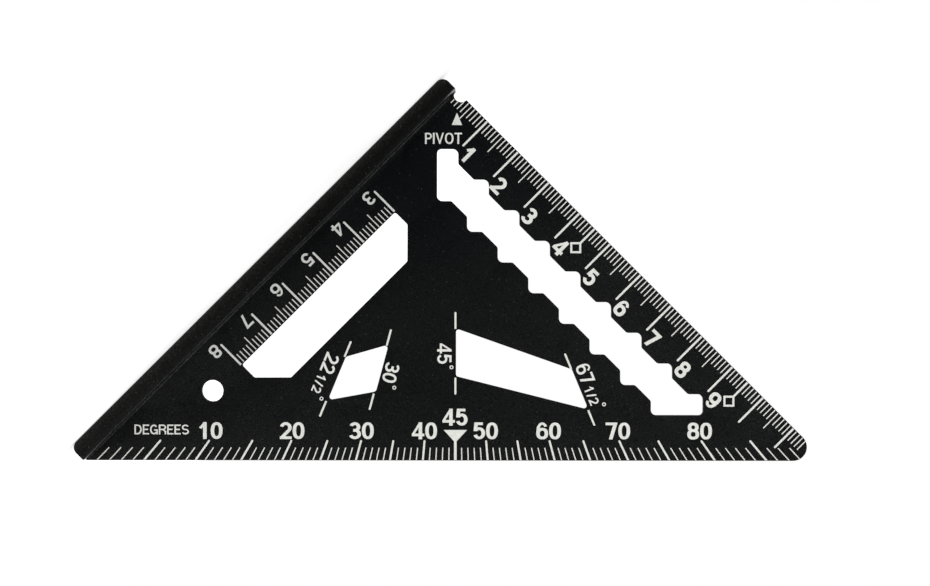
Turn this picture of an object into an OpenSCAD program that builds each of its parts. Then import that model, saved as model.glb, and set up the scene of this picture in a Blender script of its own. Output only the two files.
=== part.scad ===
// Metric rafter square: a flat 45-90-45 blade standing in a grooved fence, with printed scales.
// The fence runs along X, the other leg runs up Z, and the blade's front face looks towards -Y.
// The drawing below starts from the pivot corner, where the leg edge meets the zero of its scale, a
// little above the fence's ledge; the part's own origin is the middle of the fence's base, on which
// it stands.

/* [Blade] */
// Length of each leg, from the pivot corner to where the edges meet
leg_len = 120.65; // [115:0.05:150]
// Thickness of the blade
blade_t = 3; // [2:0.1:5]
// Rounding of the tip at the end of the leg
tip_r = 3.2; // [1:0.1:4]
// Radius of the relief cut beside the pivot corner
relief_r = 1.7; // [1:0.1:2.2]
// Height of the relief's centre above the zero of the leg's scale
relief_z = 1.4; // [1:0.1:2]
// Diameter of the hanging hole
hang_d = 5; // [3:0.1:8]
// From the end of the ruled window to the middle of the hanging hole
hang_gap = 8.9; // [6:0.1:12]
// Height of the middle of the hanging hole above the zero of the leg's scale
hang_z = 9.2; // [7:0.1:11]

/* [Fence] */
// Depth of the fence, across both faces of the blade
fence_depth = 16; // [12:0.5:24]
// Thickness of the fence below the ledge
fence_t = 4.3; // [4:0.1:7]
// How far the ledge lies below the zero of the leg's scale
ledge_drop = 0.2; // [0:0.05:0.6]
// How far each end of the fence stops short of the blade's corner
fence_inset = 0.15; // [0:0.05:0.6]
// Rounding of the fence's lower corners, seen from the front
fence_end_r = 2; // [0.5:0.05:2.4]
// Rounding of the ledge corners, seen from the front
ledge_end_r = 0.2; // [0.1:0.05:0.8]
// Rounding of the fence's long lower edges
fence_edge_r = 1; // [0.3:0.05:1.5]
// Rounding of the ledge's long outer edges
ledge_r = 0.4; // [0.1:0.05:0.8]
// Depth of the groove that holds the blade
groove_depth = 3; // [2.6:0.05:3.4]
// Clearance on each side of the printed blade in the groove
groove_gap = 0.03; // [0.02:0.01:0.15]
// How far the blade's root stops short of each end of the fence
root_inset = 0.8; // [0.3:0.1:3]

/* [Fence pins] */
// Diameter of each cross pin
pin_d = 1.6; // [1:0.1:1.8]
// Number of cross pins
pin_count = 4; // [2:1:7]
// From each end of the fence to the nearest pin
pin_end = 14; // [6:0.5:25]
// How far each pin reaches into the front cheek
pin_bite = 3; // [1:0.1:4]
// How far each pin's head lies below the back face of the fence
pin_sink = 0.3; // [0.1:0.05:0.8]
// Clearance round each pin
pin_gap = 0.02; // [0.01:0.01:0.05]

/* [Scribing window] */
// From the leg edge to the near flats of the window
scribe_x = 11.7; // [11:0.05:13]
// Width of the window between its flats
scribe_w = 7.2; // [6:0.05:8]
// Height of the first notch above the zero of the leg's scale
scribe_z = 9.7; // [9:0.1:12]
// Depth of each pencil notch before it is rounded
notch_depth = 2.45; // [1.8:0.05:2.6]
// Rounding inside each notch
notch_r = 1.3; // [0.5:0.05:1.6]
// Rounding of the corners between notches and flats
flat_r = 0.7; // [0.2:0.05:1]
// Rounding of the window's two pointed ends
scribe_end_r = 1; // [0.2:0.05:1.5]
// How far the window's two slanted ends are drawn in
scribe_trim = 0.09; // [0:0.01:0.3]
// Least distance from the last notch to the end of the leg
scribe_margin = 25; // [22:0.5:40]

/* [Ruled window] */
// Graduation at which the window starts
ruled_first = 30; // [25:5:35]
// Number of graduations along the window
ruled_count = 50; // [40:10:50]
// How far the window and its scale lie towards the pivot from the graduations' true places
ruled_shift = 0.1; // [0:0.01:0.3]
// Height of the window's ruled edge above the zero of the leg's scale
ruled_z = 9.7; // [9:0.1:11]
// Height of the window
ruled_h = 10.1; // [8:0.05:12]
// Slanted cut at the two corners away from the fence
ruled_cut = 6; // [2:0.1:7]
// Rounding of the window's corners
ruled_r = 0.6; // [0.2:0.05:1]

/* [Bevel windows] */
// Angles of the first bevel window's two guide edges
low_angles = [22.5, 30];
// Distances from the long edge to that window, along its guide edges
low_margins = [14.9, 16.4];
// Lengths of its two guide edges
low_lengths = [10.85, 11.25];
// Rounding of its four corners, round the window from the first guide edge's outer end
low_radii = [0.6, 1.1, 0.6, 1.1];
// Angles of the second bevel window's two guide edges
high_angles = [45, 67.5];
// Distances from the long edge to that window, along its guide edges
high_margins = [19.4, 12.7];
// Lengths of its two guide edges
high_lengths = [11.05, 10.05];
// Rounding of its four corners, round the window from the first guide edge's outer end
high_radii = [0.6, 0.6, 0.6, 0.6];
// How far the first guide edge of each window lies outside its ray, as room for a pencil's point
pencil_room = 0.15; // [0:0.01:0.3]
// Length of the guide line drawn at each end of a guide edge
guide_len = 3.9; // [2:0.1:5]
// Gap between a guide edge and the line beyond it
guide_gap = 0.1; // [0.05:0.05:0.5]
// How far the lines beyond each of the first window's edges lie towards the long edge
low_guide_shifts = [0, 0.35];
// How far the lines beyond each of the second window's edges lie towards the long edge
high_guide_shifts = [0.2, 0];
// Width of the guide lines
guide_w = 0.45; // [0.2:0.05:0.8]

/* [Scales] */
// Distance between two graduations
graduation = 1; // [0.95:0.01:1.02]
// Thickness of the printed marks
ink_t = 0.06; // [0.04:0.01:0.15]
// How far the marks stay back from the blade's edges
edge_inset = 0.12; // [0.05:0.01:0.3]
// Width of the fine graduations
fine_w = 0.24; // [0.15:0.01:0.4]
// Width of the numbered graduations
bold_w = 0.48; // [0.3:0.01:0.7]
// Length of a graduation on the leg
leg_tick = 3; // [2:0.1:3.5]
// Length of every fifth graduation on the leg
leg_half_tick = 5; // [4:0.1:5.5]
// Length of every tenth graduation on the leg
leg_full_tick = 8.15; // [6:0.05:8.4]
// Least distance from a numbered graduation on the leg to the long edge, along the graduation
leg_tick_margin = 4.25; // [3:0.05:6]
// From the last graduation on the leg to the end of the leg
leg_scale_margin = 6.2; // [5:0.1:9]
// Length of a graduation at the ruled window
ruled_tick = 2.5; // [2:0.1:3]
// Length of every fifth graduation at the ruled window
ruled_half_tick = 4.05; // [3:0.05:4.5]
// Length of every tenth graduation at the ruled window
ruled_full_tick = 6.8; // [5:0.1:7.5]
// Height of the one-degree marks above the long edge
degree_tick = 2.95; // [2:0.05:3.5]
// Height of every fifth degree mark above the long edge
degree_half_tick = 4.7; // [3.5:0.05:4.75]
// Width of every fifth degree mark
degree_bold_w = 0.45; // [0.3:0.01:0.7]
// How far the printed degree marks' centre lies below the pivot corner
print_drop = 0.4; // [0:0.05:0.6]

/* [Numerals] */
// Height of the numerals on the leg
leg_figure_h = 4; // [3:0.05:4.5]
// Width of the numerals on the leg
leg_figure_w = 2.75; // [2:0.05:3.2]
// From the leg edge to the top of the leg's numerals
leg_figure_x = 6.6; // [6:0.05:7]
// From a graduation to the numeral after it on the leg
leg_figure_gap = 0.95; // [0.5:0.05:2]
// Height of the numerals at the ruled window
ruled_figure_h = 3.2; // [2.5:0.05:3.5]
// Width of the numerals at the ruled window
ruled_figure_w = 2.3; // [1.6:0.05:2.8]
// Height of the ruled window's numerals above the zero of the leg's scale
ruled_figure_z = 1.65; // [1:0.05:2]
// From a graduation to the numeral after it at the ruled window
ruled_figure_gap = 0.9; // [0.5:0.05:1.5]
// Height of the degree numerals
degree_figure_h = 3.9; // [3:0.05:4.5]
// Width of the degree numerals
degree_figure_w = 2.75; // [2:0.05:3.2]
// Height of the degree numerals above the long edge
degree_figure_z = 4.9; // [4.7:0.05:6]
// Height of the bevel labels' numerals
label_h = 3.3; // [2.5:0.05:3.8]
// Width of the bevel labels' numerals
label_w = 2.2; // [1.6:0.05:2.5]
// Height of the small numerals in the bevel labels
half_h = 2.2; // [1.6:0.05:2.5]

/* [Hidden] */
overrun = 1;
graduations_per_half = 5;
graduations_per_figure = 10;
last_single_figure = 9;
arc_step = 7.5;
glyph_step = 20;
cap_steps = 4;
oval_power = 2.3;
miter_limit = 0.35;

// Distance of the pivot corner from the long edge
pivot_reach = leg_len / sqrt(2);
// Distance of the printed degree marks' centre from the long edge
print_reach = (leg_len + print_drop) / sqrt(2);
fence_len = leg_len - 2 * fence_inset;
front_y = -blade_t / 2;
ledge_z = -ledge_drop;
// Along the long edge, from the middle of the printed marks to the ledge's line
ledge_reach = (leg_len - print_drop + 2 * ledge_drop) / sqrt(2);
figure_pitch = graduations_per_figure * graduation;
leg_count = floor((leg_len - leg_scale_margin) / graduation);
first_leg_count = 1;
notch_count = floor((leg_len - scribe_margin - scribe_z) / figure_pitch) + 1;
// Graduations that carry a diamond marker, half a figure past the middle numeral and past the last
// numeral of one figure, beside which there is room
marker_counts = [for (figure = [floor(notch_count / 2), min(notch_count, last_single_figure)])
    figure * graduations_per_figure + graduations_per_half];
ruled_x = ruled_first * graduation - ruled_shift;
ruled_end = ruled_x + ruled_count * graduation;
hang_x = ruled_end + hang_gap;
pin_pitch = (fence_len - 2 * pin_end) / (pin_count - 1);
pin_z = ledge_z - groove_depth / 2;

// Diamond markers on the leg scale: place of their middle, reach and line
marker_x = 6.2;
marker_reach = 1.78;
marker_pen = 0.45;
// Pointer at 45 degrees
pointer_top = 7.05;
pointer_tip = 4.1;
pointer_w = 5.4;
pointer_stem_w = 0.6;
pointer_figure_z = 8.05;
// Marker under the pivot corner, as depths from the corner along the middle line
pivot_tip = 5.1;
pivot_base = 7.95;
pivot_w = 2.4;
pivot_gap = 0.1;
// Words beside the pivot and the degree scale
pivot_word_h = 2.58;
pivot_word_w = 1.82;
pivot_word_gap = 2.07;
pivot_word_mid = -2.8;
degrees_word_h = 2.26;
degrees_word_w = 1.7;
degrees_word_z = 5.95;
degrees_word_gap = 2.13;
degrees_word_margin = 2.4;
// Pens: thickness of level strokes and of upright strokes
leg_pen = 0.75;
leg_stem = 0.83;
ruled_pen = 0.52;
ruled_stem = 0.57;
degree_pen = 0.62;
degree_stem = 0.82;
label_pen = 0.5;
label_stem = 0.55;
half_pen = 0.34;
half_stem = 0.37;
pivot_word_pen = 0.35;
pivot_word_stem = 0.4;
degrees_word_pen = 0.31;
degrees_word_stem = 0.35;
figure_gap = 0.2;
// How far the degree numerals lie from their rays, towards the fence
degree_figure_shift = 0.07;
// Height above the degree numerals' feet at which their rays pass through their middle
degree_figure_aim = 0.15;
word_gap = 0.22;
half_gap = 0.32;
// Bevel labels: distance of their base line from the guide edge, on the open or the far side
label_base_near = -4.2;
label_base_far = 0.9;
label_ring_r = 0.34;
label_ring_pen = 0.22;
label_ring_gap = 0.8;
half_ring_drop = 0.32;
label_half_space = 0.75;
// How far each label starts beyond the inner end of its guide edge
label_starts = [[0.3, 3.75], [3.45, -0.2]];

// Strokes of each figure and letter, with places in shares of the pen's box: a pair is a point,
// four values are an oval, six values are a bow with its first and last angle. A lone value at
// the start of a stroke is the share of the pen's width that draws it
glyph_shares = [
    ["0", 1, [[[0.5, 0.5, 0.5, 0.5]]]],
    ["1", 0.95, [[[0.6, -0.3], [0.6, 1.3]], [[0.8], [0.02, 0.66], [0.6, 1.04]]]],
    ["2", 1, [[[0.5, 0.71, 0.5, 0.29, 165, -35], [0.06, 0.04]], [[-0.4, 0], [1.4, 0]]]],
    ["3", 1, [[[0.47, 0.76, 0.45, 0.24, 160, -90], [0.28, 0.52]],
        [[0.28, 0.53], [0.48, 0.265, 0.52, 0.265, 90, -160]]]],
    ["4", 1.06, [[[0.76, -0.3], [0.76, 1.3]], [[-0.4, 0.21], [1.4, 0.21]],
        [[0.7], [-0.1, 0.22], [0.78, 1.1]]]],
    ["5", 1, [[[0.94, 1], [0.13, 1], [0.04, 0.48]], [[0.5, 0.33, 0.5, 0.33, 142, -160]]]],
    ["6", 1, [[[0.5, 0.31, 0.5, 0.31]], [[0.8], [0.5, 0.52, 0.52, 0.5, 35, 180], [-0.04, 0.36]]]],
    ["7", 0.98, [[[-0.4, 1], [0.97, 1], [0.28, -0.3]]]],
    ["8", 1, [[[0.5, 0.765, 0.44, 0.235]], [[0.5, 0.27, 0.5, 0.27]]]],
    ["9", 1, [[[0.5, 0.69, 0.5, 0.31]], [[0.8], [0.5, 0.48, 0.52, 0.5, 215, 360], [1.04, 0.64]]]],
    ["P", 0.85, [[[0, -0.3], [0, 1.3]], [[0, 1], [0.5, 0.74, 0.5, 0.26, 90, -90], [0, 0.48]]]],
    ["I", 0, [[[0, -0.3], [0, 1.3]]]],
    ["V", 1.08, [[[-0.06, 1.2], [0.5, 0], [1.06, 1.2]]]],
    ["O", 1.12, [[[0.5, 0.5, 0.5, 0.5]]]],
    ["T", 0.95, [[[0.5, -0.3], [0.5, 1.3]], [[-0.4, 1], [1.4, 1]]]],
    ["D", 1, [[[0, -0.3], [0, 1.3]], [[0, 1], [0.42, 0.5, 0.58, 0.5, 90, -90], [0, 0]]]],
    ["E", 0.82, [[[0, -0.3], [0, 1.3]], [[0, 1], [1.3, 1]], [[0, 0.51], [0.95, 0.51]],
        [[0, 0], [1.3, 0]]]],
    ["G", 1.08, [[[0.5, 0.5, 0.5, 0.5, 40, 320]], [[0.55, 0.44], [1, 0.44], [1, -0.3]]]],
    ["R", 1, [[[0, -0.3], [0, 1.3]], [[0, 1], [0.5, 0.75, 0.5, 0.25, 90, -90], [0, 0.5]],
        [[0.55, 0.5], [1, 0.26], [1, -0.3]]]],
    ["S", 1, [[[0.5, 0.75, 0.48, 0.25, 25, 262], [0.5, 0.25, 0.5, 0.25, 82, -155]]]],
    ["/", 0.45, [[[-0.2, -0.12], [1.2, 1.12]]]]
];

// Plane geometry
function unit(v) = v / norm(v);
function dir(a) = [cos(a), sin(a)];
function left(v) = [-v[1], v[0]];
function backwards(list) = [for (i = [len(list) - 1 : -1 : 0]) list[i]];

// Arc of radius r that rounds the corner b between a and c
function corner_arc(a, b, c, r) =
    let (
        to_a = unit(a - b),
        to_c = unit(c - b),
        half = acos(to_a * to_c) / 2,
        centre = b + unit(to_a + to_c) * r / sin(half),
        start = b + to_a * r / tan(half) - centre,
        turn = (180 - 2 * half) * sign(cross(b - a, c - b)),
        from = atan2(start[1], start[0]),
        steps = ceil(abs(turn) / arc_step)
    )
    [for (i = [0 : steps]) centre + r * dir(from + turn * i / steps)];

// Outline through the corners, each given as [point, radius]
function rounded(corners) =
    let (n = len(corners))
    [for (i = [0 : n - 1])
        each corner_arc(corners[(i + n - 1) % n][0], corners[i][0], corners[(i + 1) % n][0],
            corners[i][1])];

// Straight mark from a to b; its far end is round, or square with one step
function mark(a, b, w, steps = 1) =
    let (d = unit(b - a), n = left(d), c = steps > 1 ? b - d * w / 2 : b)
    concat([a + n * w / 2, a - n * w / 2],
        [for (i = [0 : steps])
            let (turn = 180 * i / steps - 90)
            c + (steps > 1 ? d * cos(turn) : 0 * d) * w / 2 + n * sin(turn) * w / 2]);

// Blade

// Blade's triangle above the ledge, drawn in by an inset; its far corner is blunt below the zero
function blade_corners(inset) =
    let (reach = leg_len - inset * sqrt(2), foot = ledge_z + inset, far = leg_len - inset)
    [[[inset, foot], 0], [[far, foot], 0], [[far, reach - far], 0],
        [[inset, reach - inset], tip_r - inset]];

// Point on the ray at an angle from the fence, at a distance inside the long edge
function ray_point(angle, inside) = dir(angle) * (pivot_reach / cos(angle - 45) - inside);

// The same for printed marks, whose rays start a little below the pivot corner
function print_point(angle, inside) =
    [0, -print_drop] + dir(angle) * (print_reach / cos(angle - 45) - inside);

function bevel_corners(angles, margins, lengths, radii) =
    let (room = left(dir(angles[0])) * pencil_room)
    [[ray_point(angles[0], margins[0]) - room, radii[0]],
        [ray_point(angles[1], margins[1]), radii[1]],
        [ray_point(angles[1], margins[1] + lengths[1]), radii[2]],
        [ray_point(angles[0], margins[0] + lengths[0]) - room, radii[3]]];

// Corners of the window with pencil notches on both sides, half a pitch apart
function scribe_corners() =
    let (
        near_tip = scribe_x - notch_depth,
        far_flat = scribe_x + scribe_w,
        far_tip = far_flat + notch_depth,
        half_pitch = figure_pitch / 2,
        last_z = scribe_z + (notch_count - 1) * figure_pitch,
        lean = (far_tip - near_tip - half_pitch) / 2
    )
    concat(
        [[[near_tip + lean - scribe_trim, scribe_z - lean + scribe_trim], scribe_end_r]],
        [for (i = [0 : notch_count - 2])
            let (z = scribe_z + half_pitch + i * figure_pitch)
            each concat(
                i == 0 ? [[[far_tip - scribe_trim, z + scribe_trim], notch_r]]
                    : [[[far_flat, z - notch_depth], flat_r]],
                i == 0 || i == notch_count - 2 ? [] : [[[far_tip, z], notch_r]],
                i == notch_count - 2 ? [[[far_tip - scribe_trim, z - scribe_trim], notch_r]]
                    : [[[far_flat, z + notch_depth], flat_r]])],
        [[[near_tip + lean - scribe_trim, last_z + lean - scribe_trim], scribe_end_r]],
        [for (i = [notch_count - 1 : -1 : 0])
            let (z = scribe_z + i * figure_pitch)
            each concat(
                i == notch_count - 1 ? [] : [[[scribe_x, z + notch_depth], flat_r]],
                [[[near_tip, z], notch_r]],
                i == 0 ? [] : [[[scribe_x, z - notch_depth], flat_r]])]);

function ruled_corners() =
    let (top = ruled_z + ruled_h, shoulder = top - ruled_cut)
    [[[ruled_x, ruled_z], ruled_r], [[ruled_end, ruled_z], ruled_r],
        [[ruled_end, shoulder], ruled_r], [[ruled_end - ruled_cut, top], ruled_r],
        [[ruled_x + ruled_cut, top], ruled_r], [[ruled_x, shoulder], ruled_r]];

module bevel_windows() {
    polygon(rounded(bevel_corners(low_angles, low_margins, low_lengths, low_radii)));
    polygon(rounded(bevel_corners(high_angles, high_margins, high_lengths, high_radii)));
}

module blade_face() {
    difference() {
        union() {
            polygon(rounded(blade_corners(0)));
            translate([fence_inset + root_inset, ledge_z - groove_depth])
                square([fence_len - 2 * root_inset, groove_depth + overrun]);
        }
        polygon(rounded(scribe_corners()));
        polygon(rounded(ruled_corners()));
        bevel_windows();
        translate([hang_x, hang_z])
            circle(d = hang_d, $fn = 64);
        translate([0, relief_z])
            circle(r = relief_r, $fn = 48);
    }
}

// Moves a piece from the pivot corner to the part's origin
module stood() {
    translate([-leg_len / 2, 0, fence_t - ledge_z])
        children();
}

// Stands a flat shape up, with the given thickness behind the plane y
module upright(y, thickness) {
    translate([0, y + thickness, 0])
        rotate([90, 0, 0])
            linear_extrude(thickness)
                children();
}

// Runs children at every pin, with the pin's axis along Y
module at_pins() {
    for (i = [0 : pin_count - 1])
        translate([fence_inset + pin_end + i * pin_pitch, 0, pin_z])
            rotate([-90, 0, 0])
                children();
}

module blade() {
    color("#141415")
        stood()
            difference() {
                upright(front_y, blade_t)
                    blade_face();
                at_pins()
                    translate([0, 0, front_y - overrun])
                        cylinder(d = pin_d + 2 * pin_gap, h = blade_t + 2 * overrun, $fn = 32);
            }
}

// Fence

function fence_section() =
    let (half = fence_depth / 2)
    rounded([[[-half, -fence_t], fence_edge_r], [[half, -fence_t], fence_edge_r],
        [[half, 0], ledge_r], [[-half, 0], ledge_r]]);

function fence_front() =
    let (end = fence_inset + fence_len)
    rounded([[[fence_inset, -fence_t], fence_end_r], [[end, -fence_t], fence_end_r],
        [[end, 0], ledge_end_r], [[fence_inset, 0], ledge_end_r]]);

module fence() {
    groove_w = blade_t + 2 * (ink_t + groove_gap);
    bore_from = front_y - pin_bite;
    color("#1b1b1d")
        stood()
            difference() {
                translate([0, 0, ledge_z])
                    intersection() {
                        translate([fence_inset, 0, 0])
                            rotate([90, 0, 90])
                                linear_extrude(fence_len)
                                    polygon(fence_section());
                        upright(-fence_depth, 2 * fence_depth)
                            polygon(fence_front());
                    }
                translate([-overrun, -groove_w / 2, ledge_z - groove_depth])
                    cube([leg_len + 2 * overrun, groove_w, groove_depth + overrun]);
                at_pins()
                    translate([0, 0, bore_from])
                        cylinder(d = pin_d + 2 * pin_gap, h = fence_depth - bore_from, $fn = 32);
            }
}

module fence_pins() {
    bore_from = front_y - pin_bite;
    color("#8d9094")
        stood()
            at_pins()
                translate([0, 0, bore_from])
                    cylinder(d = pin_d, h = fence_depth / 2 - pin_sink - bore_from, $fn = 32);
}

// Printed marks

// Lays a flat mark on the front face
module on_front() {
    color("#e4e5de")
        stood()
            upright(front_y - ink_t, ink_t)
                children();
}

// Lays a flat mark on the back face; seen from there, X grows to the left
module on_back() {
    color("#e4e5de")
        stood()
            mirror([0, 1, 0])
                upright(front_y - ink_t, ink_t)
                    children();
}

// Marks across the leg edge, one at each graduation
module leg_marks() {
    for (i = [first_leg_count : leg_count]) {
        z = i * graduation;
        full = i % graduations_per_figure == 0;
        half = i % graduations_per_half == 0;
        marker = len(search(i, marker_counts)) > 0;
        room = leg_len - z - leg_tick_margin;
        reach = full ? min(leg_full_tick, room) : half ? leg_half_tick : leg_tick;
        start = relief_half_width(z) + edge_inset;
        if (!marker)
            polygon(mark([start, z], [reach, z], full ? bold_w : fine_w, full ? cap_steps : 1));
    }
}

// Reach of the pivot relief into the blade at a height
function relief_half_width(z) =
    abs(z - relief_z) < relief_r ? sqrt(relief_r ^ 2 - (z - relief_z) ^ 2) : 0;

module leg_scale() {
    on_front()
        difference() {
            leg_marks();
            pivot_triangle(pivot_gap);
        }
}

module leg_markers() {
    on_front()
        for (count = marker_counts)
            translate([marker_x, count * graduation]) {
                polygon(mark([edge_inset - marker_x, 0], [marker_pen - marker_reach, 0], bold_w));
                difference() {
                    circle(r = marker_reach, $fn = 4);
                    circle(r = marker_reach - marker_pen * sqrt(2), $fn = 4);
                }
            }
}

module ruled_window_scale() {
    on_front()
        for (i = [0 : ruled_count]) {
            x = ruled_x + i * graduation;
            full = (ruled_first + i) % graduations_per_figure == 0;
            half = (ruled_first + i) % graduations_per_half == 0;
            reach = full ? ruled_full_tick : half ? ruled_half_tick : ruled_tick;
            polygon(mark([x, ruled_z - edge_inset], [x, ruled_z - reach],
                full ? bold_w : fine_w, full ? cap_steps : 1));
        }
}

// Marks on rays from the pivot, trimmed to the long edge and the tip
module degree_marks() {
    intersection() {
        polygon(rounded(blade_corners(edge_inset)));
        for (angle = [1 : 88]) {
            bold = angle % graduations_per_half == 0;
            reach = bold ? degree_half_tick : degree_tick;
            lean = cos(angle - 45);
            if (angle != 45)
                polygon(mark(print_point(angle, -overrun), print_point(angle, reach / lean),
                    bold ? degree_bold_w : fine_w, bold ? cap_steps : 1));
        }
    }
}

module degree_scale() {
    on_front()
        degree_marks();
}

// Moves to the long edge, abreast of the printed marks' centre: local x runs along the edge
// towards the tip, local y towards the pivot
module at_long_edge() {
    translate([leg_len + print_drop, leg_len - print_drop] / 2)
        rotate(135)
            children();
}

module degree_pointer() {
    on_front()
        at_long_edge() {
            polygon([[-pointer_w / 2, pointer_top], [0, pointer_tip], [pointer_w / 2, pointer_top]]);
            polygon(mark([0, edge_inset], [0, (pointer_top + pointer_tip) / 2], pointer_stem_w));
        }
}

// Marker under the pivot corner, grown at its tip and base by a gap
module pivot_triangle(gap) {
    tip = pivot_tip - gap;
    half = (pivot_base + gap - tip) * pivot_w / (pivot_base - pivot_tip) / 2;
    rotate(45)
        polygon([[tip, 0], [pivot_base + gap, -half], [pivot_base + gap, half]]);
}

module pivot_marker() {
    on_front()
        pivot_triangle(0);
}

module bevel_guides() {
    on_front()
        difference() {
            for (i = [0, 1]) {
                guide_pair(low_angles[i], low_margins[i], low_lengths[i], low_guide_shifts[i]);
                guide_pair(high_angles[i], high_margins[i], high_lengths[i], high_guide_shifts[i]);
            }
            bevel_windows();
        }
}

module guide_pair(angle, margin, length, shift) {
    outer = margin - guide_gap - shift;
    inner = margin + length + guide_gap - shift;
    polygon(mark(print_point(angle, outer), print_point(angle, outer - guide_len), guide_w, cap_steps));
    polygon(mark(print_point(angle, inner), print_point(angle, inner + guide_len), guide_w, cap_steps));
}

// Figures and letters

// Point of the pen's box from its shares
function pen_point(share, w, h, pen) = [pen / 2 + share[0] * (w - pen), pen / 2 + share[1] * (h - pen)];

function pen_bow(shares, w, h, pen) =
    let (sweep = shares[5] - shares[4], steps = ceil(abs(sweep) / glyph_step))
    [for (i = [0 : steps])
        let (a = shares[4] + sweep * i / steps)
        pen_point([shares[0] + shares[2] * cos(a), shares[1] + shares[3] * sin(a)], w, h, pen)];

function pen_path(stroke, w, h, pen) =
    [for (step = stroke)
        each len(step) == 1 ? []
            : len(step) == 2 ? [pen_point(step, w, h, pen)] : pen_bow(step, w, h, pen)];

// One side of a stroke of the pen's width along a path
function pen_side(path, pen, side) =
    [for (i = [0 : len(path) - 1])
        let (
            before = unit(i == 0 ? path[1] - path[0] : path[i] - path[i - 1]),
            after = i == len(path) - 1 ? before : unit(path[i + 1] - path[i]),
            middle = unit(before + after)
        )
        path[i] + side * left(middle) * pen / 2 / max(middle * before, miter_limit)];

function pen_outline(path, pen) = concat(pen_side(path, pen, -1), backwards(pen_side(path, pen, 1)));

function signed_power(value, power) = sign(value) * abs(value) ^ power;

function oval(centre, rx, ry) =
    [for (a = [0 : glyph_step : 359])
        centre + [rx * signed_power(cos(a), 2 / oval_power), ry * signed_power(sin(a), 2 / oval_power)]];

function stretched(points, ratio) = [for (p = points) [p[0] * ratio, p[1]]];

function glyph(name) = glyph_shares[search([name], glyph_shares)[0]];

// Width of a figure or letter whose full size is w wide
function glyph_width(name, w, stem) = stem + glyph(name)[1] * (w - stem);

// One figure or letter, drawn with a pen that is wider across than up and down
module draw_glyph(name, h, w, pen, stem) {
    ratio = stem / pen;
    full_w = glyph_width(name, w, stem);
    box_w = full_w / ratio;
    intersection() {
        square([full_w, h]);
        union()
            for (stroke = glyph(name)[2])
                if (len(stroke[0]) == 4) {
                    centre = pen_point(stroke[0], box_w, h, pen);
                    rx = stroke[0][2] * (box_w - pen);
                    ry = stroke[0][3] * (h - pen);
                    difference() {
                        polygon(stretched(oval(centre, rx + pen / 2, ry + pen / 2), ratio));
                        polygon(stretched(oval(centre, rx - pen / 2, ry - pen / 2), ratio));
                    }
                } else {
                    thin = len(stroke[0]) == 1 ? stroke[0][0] : 1;
                    polygon(stretched(pen_outline(pen_path(stroke, box_w, h, pen), pen * thin), ratio));
                }
    }
}

// Length of the first n letters of a word, with the gap after each
function word_run(word, n, w, stem, gap) =
    n == 0 ? 0 : word_run(word, n - 1, w, stem, gap) + glyph_width(word[n - 1], w, stem) + gap;

function word_length(word, w, stem, gap) = word_run(word, len(word), w, stem, gap) - gap;

// A word whose start, middle or end (0, 1 or 2 halves along it) is at the origin
module draw_word(word, h, w, pen, stem, gap, halves = 0) {
    for (i = [0 : len(word) - 1])
        translate([word_run(word, i, w, stem, gap) - halves * word_length(word, w, stem, gap) / 2, 0])
            draw_glyph(word[i], h, w, pen, stem);
}

// Numerals along the leg, trimmed by the scribing window and turned over on the back face
module leg_figures(flip = 0) {
    difference() {
        for (i = [1 : notch_count])
            translate([leg_figure_x + leg_figure_h, i * figure_pitch + leg_figure_gap])
                rotate(90)
                    mirror([flip, 0])
                        draw_word(str(i), leg_figure_h, leg_figure_w, leg_pen, leg_stem, figure_gap,
                            2 * flip);
        polygon(rounded(scribe_corners()));
    }
}

module leg_numerals() {
    on_front()
        leg_figures();
}

module ruled_window_numerals() {
    on_front()
        for (i = [0 : graduations_per_figure : ruled_count])
            let (count = ruled_first + i - ruled_first % graduations_per_figure)
            translate([count * graduation - ruled_shift + ruled_figure_gap, ruled_figure_z])
                draw_word(str(count / graduations_per_figure), ruled_figure_h, ruled_figure_w,
                    ruled_pen, ruled_stem, figure_gap);
}

// Place along the long edge of the middle of a degree numeral
function degree_figure_x(angle) =
    (print_reach - degree_figure_z - degree_figure_aim) * tan(angle - 45) - degree_figure_shift;

function degree_figure_run(word) = word_length(word, degree_figure_w, degree_stem, figure_gap);

// Numerals over every tenth degree mark, turned over on the back face
module degree_figures(flip = 0) {
    for (angle = [10 : 10 : 80])
        translate([degree_figure_x(angle), degree_figure_z])
            degree_figure(angle, flip);
    translate([-degree_figure_shift, pointer_figure_z])
        degree_figure(45, flip);
}

module degree_figure(angle, flip) {
    mirror([flip, 0])
        draw_word(str(angle), degree_figure_h, degree_figure_w, degree_pen, degree_stem, figure_gap, 1);
}

module degree_numerals() {
    on_front()
        at_long_edge()
            degree_figures();
}

// The word before the first degree numeral, drawn smaller where the ledge leaves less room for it
module degrees_word() {
    end = degree_figure_x(10) - degree_figure_run("10") / 2 - degrees_word_gap;
    ledge = degrees_word_z + degrees_word_h - ledge_reach;
    run = word_length("DEGREES", degrees_word_w, degrees_word_stem, word_gap);
    fit = min(1, (end - ledge - degrees_word_margin) / run);
    on_front()
        at_long_edge()
            translate([end, degrees_word_z])
                draw_word("DEGREES", degrees_word_h * fit, degrees_word_w * fit,
                    degrees_word_pen * fit, degrees_word_stem * fit, word_gap * fit, 2);
}

module pivot_word() {
    on_front()
        at_long_edge()
            translate([pivot_word_mid, print_reach - pivot_base - pivot_word_gap - pivot_word_h])
                draw_word("PIVOT", pivot_word_h, pivot_word_w, pivot_word_pen, pivot_word_stem,
                    word_gap, 1);
}

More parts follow.
